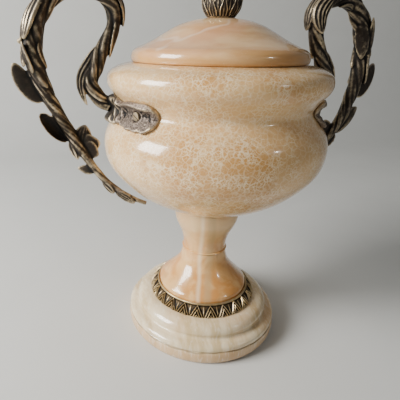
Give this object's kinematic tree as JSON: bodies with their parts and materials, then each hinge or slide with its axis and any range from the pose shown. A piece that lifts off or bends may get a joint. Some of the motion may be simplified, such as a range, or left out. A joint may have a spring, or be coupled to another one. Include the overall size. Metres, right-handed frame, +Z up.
{
  "type": "mantel urn",
  "caption": "Covered stone mantel urn with a round moulded foot, turned stem, hollow bowl and lid, and cast brass vine handles.",
  "frame": {"origin": "on the surface it stands on, at the middle of the foot", "axes": "+Z up along the turned axis; the handles stand out along -X and +X"},
  "size_m": [0.464, 0.272, 0.4633],
  "materials": {
    "foot_onyx": "polished cream onyx with upright bands",
    "stem_onyx": "polished orange-beige onyx with a pale vein",
    "bowl_onyx": "polished warm beige onyx with fine pale veining",
    "lid_onyx": "polished pinkish beige onyx with soft bands",
    "dark_brass": "cast, dark antique patina, worn bright on the ridges",
    "gilt_brass": "cast, antique gold with dark recesses",
    "screw_brass": "turned, dull"
  },
  "bodies": {
    "root": {"foot": "foot_onyx", "leaf_ring": "gilt_brass", "stem": "stem_onyx", "bowl": "bowl_onyx", "lid": "lid_onyx", "finial": "dark_brass", "handle_left": "dark_brass", "handle_right": "dark_brass", "screw_left_front": "screw_brass", "screw_left_back": "screw_brass", "screw_right_front": "screw_brass", "screw_right_back": "screw_brass"}
  },
  "joints": []
}
